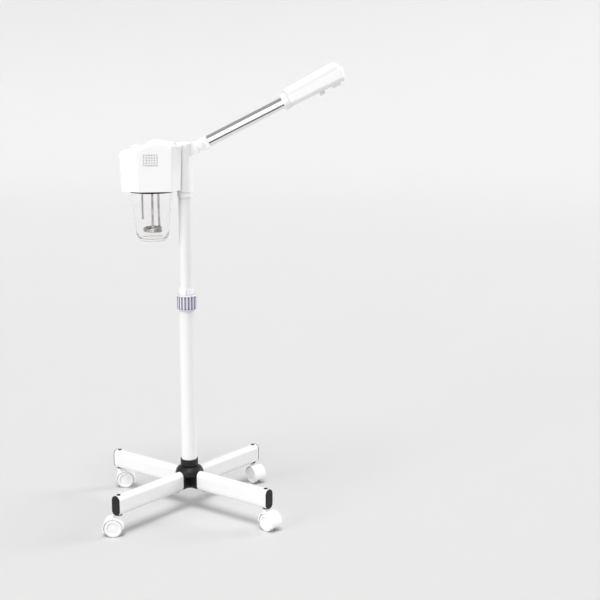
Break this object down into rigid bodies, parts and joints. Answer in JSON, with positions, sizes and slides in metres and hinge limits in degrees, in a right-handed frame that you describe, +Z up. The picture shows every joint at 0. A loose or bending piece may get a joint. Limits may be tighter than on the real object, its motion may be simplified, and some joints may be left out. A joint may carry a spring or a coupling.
{
  "type": "facial steamer",
  "caption": "Facial steamer on a cross-leg caster stand: slanted head with glass water jar, telescopic pole, tilting chrome steam arm and turning nozzle.",
  "frame": {"origin": "on the floor under the pole's axis", "axes": "+Z up along the pole, +X towards the steam arm's nozzle, -X the control panel's side"},
  "size_m": [0.6181, 0.4189, 1.1329],
  "materials": {
    "white_plastic": "satin moulded",
    "white_steel": "gloss powder coat",
    "black_plastic": "semi-gloss moulded",
    "zinc_steel": "zinc plated",
    "grey_plastic": "satin moulded",
    "panel_film": "printed film",
    "lamp_lens": "milky clear",
    "seal_rubber": "silicone",
    "clear_glass": "clear borosilicate",
    "dark_steel": "heat-darkened sheath",
    "board_green": "solder mask",
    "chrome_tube": "polished",
    "lavender_plastic": "satin moulded",
    "wheel_nylon": "satin nylon"
  },
  "bodies": {
    "stand": {"base_hub": "black_plastic", "leg_front_left": "white_steel", "leg_front_right": "white_steel", "leg_rear_left": "white_steel", "leg_rear_right": "white_steel", "leg_end_caps": "black_plastic", "caster_sleeves": "black_plastic", "leg_bolts": "zinc_steel", "hub_bolt": "zinc_steel", "lower_pole": "white_steel", "lock_collet": "lavender_plastic"},
    "caster_front_left": {"caster_hood_front_left": "white_plastic", "caster_pins_front_left": "zinc_steel"},
    "wheel_left_front_left": {"wheel_left_front_left": "wheel_nylon"},
    "wheel_right_front_left": {"wheel_right_front_left": "wheel_nylon"},
    "caster_front_right": {"caster_hood_front_right": "white_plastic", "caster_pins_front_right": "zinc_steel"},
    "wheel_left_front_right": {"wheel_left_front_right": "wheel_nylon"},
    "wheel_right_front_right": {"wheel_right_front_right": "wheel_nylon"},
    "caster_rear_left": {"caster_hood_rear_left": "white_plastic", "caster_pins_rear_left": "zinc_steel"},
    "wheel_left_rear_left": {"wheel_left_rear_left": "wheel_nylon"},
    "wheel_right_rear_left": {"wheel_right_rear_left": "wheel_nylon"},
    "caster_rear_right": {"caster_hood_rear_right": "white_plastic", "caster_pins_rear_right": "zinc_steel"},
    "wheel_left_rear_right": {"wheel_left_rear_right": "wheel_nylon"},
    "wheel_right_rear_right": {"wheel_right_rear_right": "wheel_nylon"},
    "lock_nut": {"height_lock_nut": "grey_plastic"},
    "mast": {"upper_pole": "white_steel", "guide_bush": "black_plastic", "head_rest_collar": "white_plastic"},
    "head": {"pole_socket": "white_plastic", "housing_shell": "white_plastic", "control_panel": "panel_film", "indicator_lamps": "lamp_lens", "base_tray": "white_plastic", "jar_seat": "black_plastic", "steam_riser": "seal_rubber", "heating_element": "dark_steel", "water_probe": "zinc_steel", "control_board": "board_green", "ozone_lamp": "clear_glass", "sounder": "black_plastic", "mains_inlet": "black_plastic", "housing_screws": "zinc_steel", "pivot_screws": "white_steel"},
    "power_button": {"power_button": "lavender_plastic"},
    "ozone_button": {"ozone_button": "lavender_plastic"},
    "jar_ring": {"jar_seal": "seal_rubber"},
    "jar": {"glass_jar": "clear_glass"},
    "arm": {"arm_knuckle": "white_plastic", "arm_tube": "chrome_tube", "steam_hose": "seal_rubber"},
    "nozzle": {"nozzle_collar": "white_plastic", "nozzle_lower_shell": "white_plastic", "nozzle_upper_shell": "lavender_plastic", "steam_outlet": "white_plastic", "nozzle_screws": "zinc_steel"},
    "aroma_cap": {"aroma_cap": "white_plastic"}
  },
  "joints": [
    {"name": "caster_swivel_front_left", "type": "hinge", "parent": "stand", "child": "caster_front_left", "pos_m": [-0.1796, -0.1796, 0.048], "axis": [0, 0, 1], "continuous": true},
    {"name": "wheel_roll_left_front_left", "type": "hinge", "parent": "caster_front_left", "child": "wheel_left_front_left", "pos_m": [-0.19355, -0.17838, 0.022], "axis": [-0.0872, -0.9962, 0], "continuous": true},
    {"name": "wheel_roll_right_front_left", "type": "hinge", "parent": "caster_front_left", "child": "wheel_right_front_left", "pos_m": [-0.19355, -0.17838, 0.022], "axis": [-0.0872, -0.9962, 0], "continuous": true},
    {"name": "caster_swivel_front_right", "type": "hinge", "parent": "stand", "child": "caster_front_right", "pos_m": [0.1796, -0.1796, 0.048], "axis": [0, 0, 1], "continuous": true},
    {"name": "wheel_roll_left_front_right", "type": "hinge", "parent": "caster_front_right", "child": "wheel_left_front_right", "pos_m": [0.18822, -0.19064, 0.022], "axis": [0.788, 0.6157, 0], "continuous": true},
    {"name": "wheel_roll_right_front_right", "type": "hinge", "parent": "caster_front_right", "child": "wheel_right_front_right", "pos_m": [0.18822, -0.19064, 0.022], "axis": [0.788, 0.6157, 0], "continuous": true},
    {"name": "caster_swivel_rear_left", "type": "hinge", "parent": "stand", "child": "caster_rear_left", "pos_m": [-0.1796, 0.1796, 0.048], "axis": [0, 0, 1], "continuous": true},
    {"name": "wheel_roll_left_rear_left", "type": "hinge", "parent": "caster_rear_left", "child": "wheel_left_rear_left", "pos_m": [-0.16561, 0.17912, 0.022], "axis": [0.0349, 0.9994, 0], "continuous": true},
    {"name": "wheel_roll_right_rear_left", "type": "hinge", "parent": "caster_rear_left", "child": "wheel_right_rear_left", "pos_m": [-0.16561, 0.17912, 0.022], "axis": [0.0349, 0.9994, 0], "continuous": true},
    {"name": "caster_swivel_rear_right", "type": "hinge", "parent": "stand", "child": "caster_rear_right", "pos_m": [0.1796, 0.1796, 0.048], "axis": [0, 0, 1], "continuous": true},
    {"name": "wheel_roll_left_rear_right", "type": "hinge", "parent": "caster_rear_right", "child": "wheel_left_rear_right", "pos_m": [0.18618, 0.16724, 0.022], "axis": [0.8829, 0.4695, 0], "continuous": true},
    {"name": "wheel_roll_right_rear_right", "type": "hinge", "parent": "caster_rear_right", "child": "wheel_right_rear_right", "pos_m": [0.18618, 0.16724, 0.022], "axis": [0.8829, 0.4695, 0], "continuous": true},
    {"name": "lock_nut_turn", "type": "hinge", "parent": "stand", "child": "lock_nut", "pos_m": [0, 0, 0.54], "axis": [0, 0, 1], "range_deg": [-180, 180]},
    {"name": "height_slide", "type": "slide", "parent": "stand", "child": "mast", "axis": [0, 0, 1], "range_m": [-0.17, 0.17]},
    {"name": "head_turn", "type": "hinge", "parent": "mast", "child": "head", "pos_m": [0, 0, 0.818], "axis": [0, 0, 1], "range_deg": [-170, 170]},
    {"name": "power_button_press", "type": "slide", "parent": "head", "child": "power_button", "axis": [0.3111, 0, -0.9504], "range_m": [0, 0.002], "stiffness_N_per_m": 400},
    {"name": "ozone_button_press", "type": "slide", "parent": "head", "child": "ozone_button", "axis": [0.3111, 0, -0.9504], "range_m": [0, 0.002], "stiffness_N_per_m": 400},
    {"name": "jar_turn", "type": "hinge", "parent": "head", "child": "jar_ring", "pos_m": [-0.0805, 0, 0.8261], "axis": [0, 0, 1], "range_deg": [0, 90]},
    {"name": "jar_drop", "type": "slide", "parent": "jar_ring", "child": "jar", "axis": [0, 0, -1], "range_m": [0, 0.14]},
    {"name": "arm_tilt", "type": "hinge", "parent": "head", "child": "arm", "pos_m": [0.046, 0, 0.935], "axis": [0, -1, 0], "range_deg": [-40, 25]},
    {"name": "nozzle_turn", "type": "hinge", "parent": "arm", "child": "nozzle", "pos_m": [0.2606, 0, 1.04246], "axis": [0.8942, 0, 0.4478], "continuous": true},
    {"name": "aroma_cap_turn", "type": "hinge", "parent": "nozzle", "child": "aroma_cap", "pos_m": [0.34198, 0, 1.06085], "axis": [0.4478, 0, -0.8942], "range_deg": [0, 90]}
  ]
}
